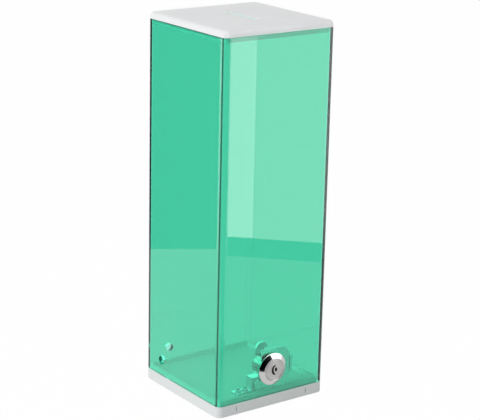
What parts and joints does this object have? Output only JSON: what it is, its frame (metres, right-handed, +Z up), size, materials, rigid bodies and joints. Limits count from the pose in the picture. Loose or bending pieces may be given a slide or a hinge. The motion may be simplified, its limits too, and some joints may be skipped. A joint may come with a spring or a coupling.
{
  "type": "donation box",
  "caption": "Tall square countertop donation tower: transparent green tube, white cap with a coin slot, white base, cam lock low in one wall and holes for a security chain.",
  "frame": {"origin": "centre of the tube's footprint, on the surface that the rubber feet stand on", "axes": "+Z up the tower; -Y is the wall with the lock; -X and +Y are the walls with a chain hole"},
  "size_m": [0.1016, 0.1046, 0.2987],
  "materials": {
    "tinted_acrylic": "clear polished, tinted green",
    "white_moulding": "fine satin moulded",
    "foot_rubber": "matte",
    "lock_chrome": "polished plating",
    "clip_chrome": "bright plated spring steel",
    "plug_face": "turned rings",
    "zinc_plate": "zinc plated, stamped",
    "fastener_steel": "zinc plated",
    "spring_steel": "drawn wire",
    "wafer_brass": "stamped"
  },
  "bodies": {
    "base": {"base": "white_moulding", "rubber_feet": "foot_rubber", "keeper": "zinc_plate", "keeper_screws": "fastener_steel"},
    "case": {"tube": "tinted_acrylic", "top_cap": "white_moulding", "lock_housing": "lock_chrome", "spring_clip": "clip_chrome"},
    "lock_core": {"lock_plug": "plug_face", "wafer_tumblers": "wafer_brass", "wafer_springs": "spring_steel", "plug_retainer": "wafer_brass", "retainer_spring": "spring_steel", "stop_plate": "zinc_plate", "lock_cam": "zinc_plate", "lock_washer": "fastener_steel", "cam_screw": "fastener_steel"}
  },
  "joints": [
    {"name": "case_lift", "type": "slide", "parent": "base", "child": "case", "axis": [0, 0, 1], "range_m": [0, 0.06]},
    {"name": "lock_turn", "type": "hinge", "parent": "case", "child": "lock_core", "pos_m": [0, -0.0508, 0.031], "axis": [0, 1, 0], "range_deg": [0, 180]}
  ]
}
